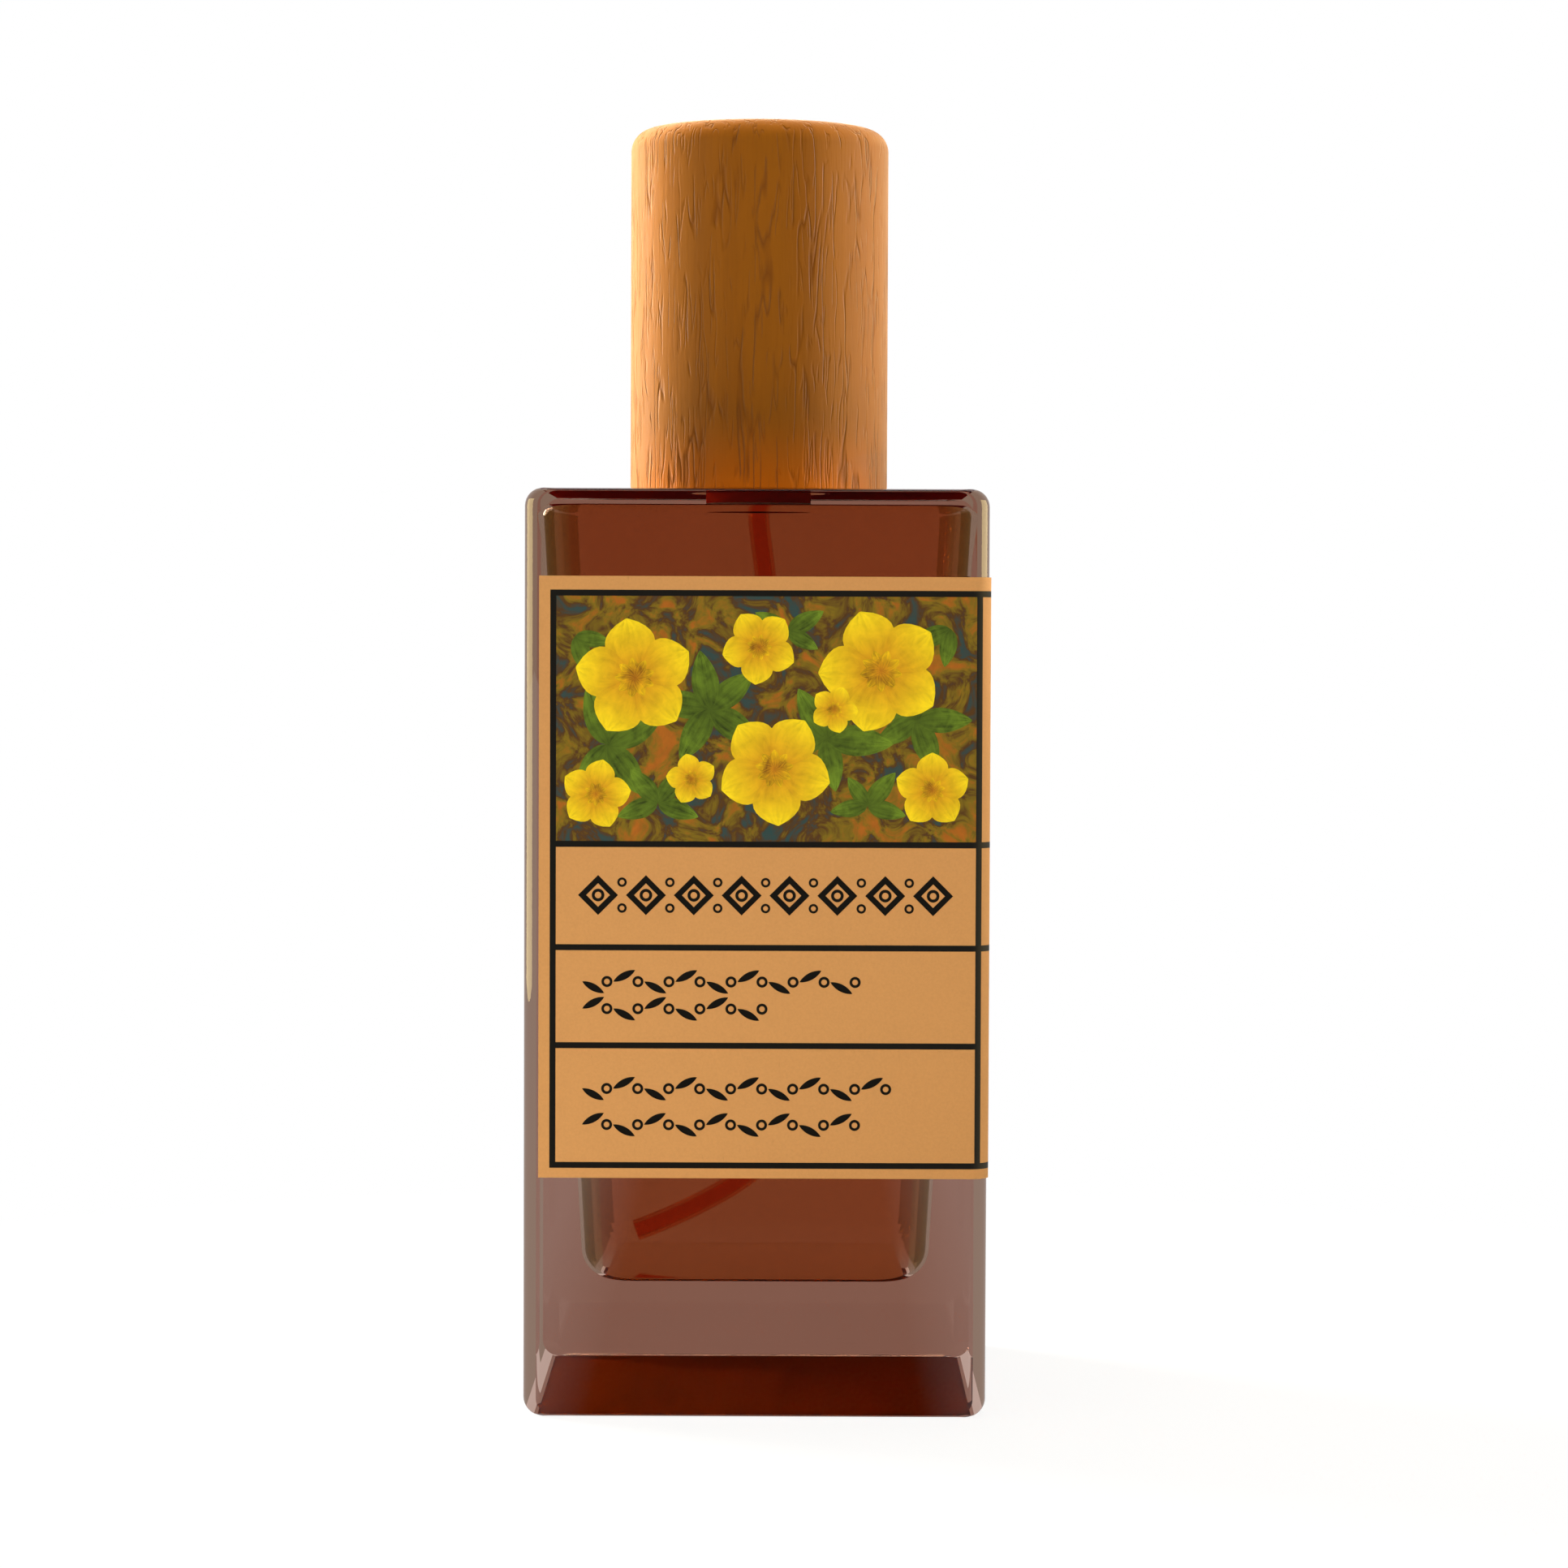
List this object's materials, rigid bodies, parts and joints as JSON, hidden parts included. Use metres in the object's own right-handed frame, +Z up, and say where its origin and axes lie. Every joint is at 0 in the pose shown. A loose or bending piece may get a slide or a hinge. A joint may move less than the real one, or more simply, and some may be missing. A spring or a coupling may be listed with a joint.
{
  "type": "fragrance spray bottle",
  "caption": "Square thick-walled glass bottle of amber fragrance with a wrap-round label, a crimped finger pump and a round wooden lift-off cap.",
  "frame": {"origin": "middle of the flat base", "axes": "+Z up along the pump, -Y to the front with the label, +X to the side that the label wraps onto"},
  "size_m": [0.0362, 0.0362, 0.1015],
  "materials": {
    "clear_glass": "polished",
    "tinted_liquid": "clear amber liquid",
    "label_paper": "matt printed paper",
    "tube_plastic": "translucent",
    "seal_rubber": "matt",
    "pump_plastic": "moulded",
    "piston_plastic": "moulded",
    "ferrule_metal": "bright sheet",
    "collar_metal": "pale gold anodised",
    "spring_steel": "drawn wire",
    "ball_steel": "polished",
    "nozzle_plastic": "moulded",
    "cap_wood": "matt oiled",
    "liner_plastic": "moulded"
  },
  "bodies": {
    "bottle": {"glass_bottle": "clear_glass", "fragrance_fill": "tinted_liquid", "wrap_label": "label_paper", "dip_tube": "tube_plastic", "neck_gasket": "seal_rubber", "pump_housing": "pump_plastic", "stem_turret": "pump_plastic", "crimp_ferrule": "ferrule_metal", "ferrule_collar": "collar_metal", "return_spring": "spring_steel"},
    "plunger": {"pump_stem": "pump_plastic", "pump_piston": "piston_plastic", "prime_spring": "spring_steel"},
    "spray_head": {"actuator_core": "pump_plastic", "actuator_shell": "collar_metal", "nozzle_insert": "nozzle_plastic"},
    "inlet_ball": {"check_ball": "ball_steel"},
    "cap": {"cap_shell": "cap_wood", "cap_liner": "liner_plastic"}
  },
  "joints": [
    {"name": "pump_press", "type": "slide", "parent": "bottle", "child": "plunger", "axis": [0, 0, -1], "range_m": [0, 0.0024], "stiffness_N_per_m": 1500, "springref_m": -0.003, "deforming": ["return_spring"]},
    {"name": "spray_head_turn", "type": "hinge", "parent": "plunger", "child": "spray_head", "pos_m": [0, 0, 0.08915], "axis": [0, 0, 1], "continuous": true},
    {"name": "ball_lift", "type": "slide", "parent": "bottle", "child": "inlet_ball", "axis": [0, 0, 1], "range_m": [0, 0.0004]},
    {"name": "cap_lift", "type": "slide", "parent": "bottle", "child": "cap", "axis": [0, 0, 1], "range_m": [0, 0.032]}
  ]
}
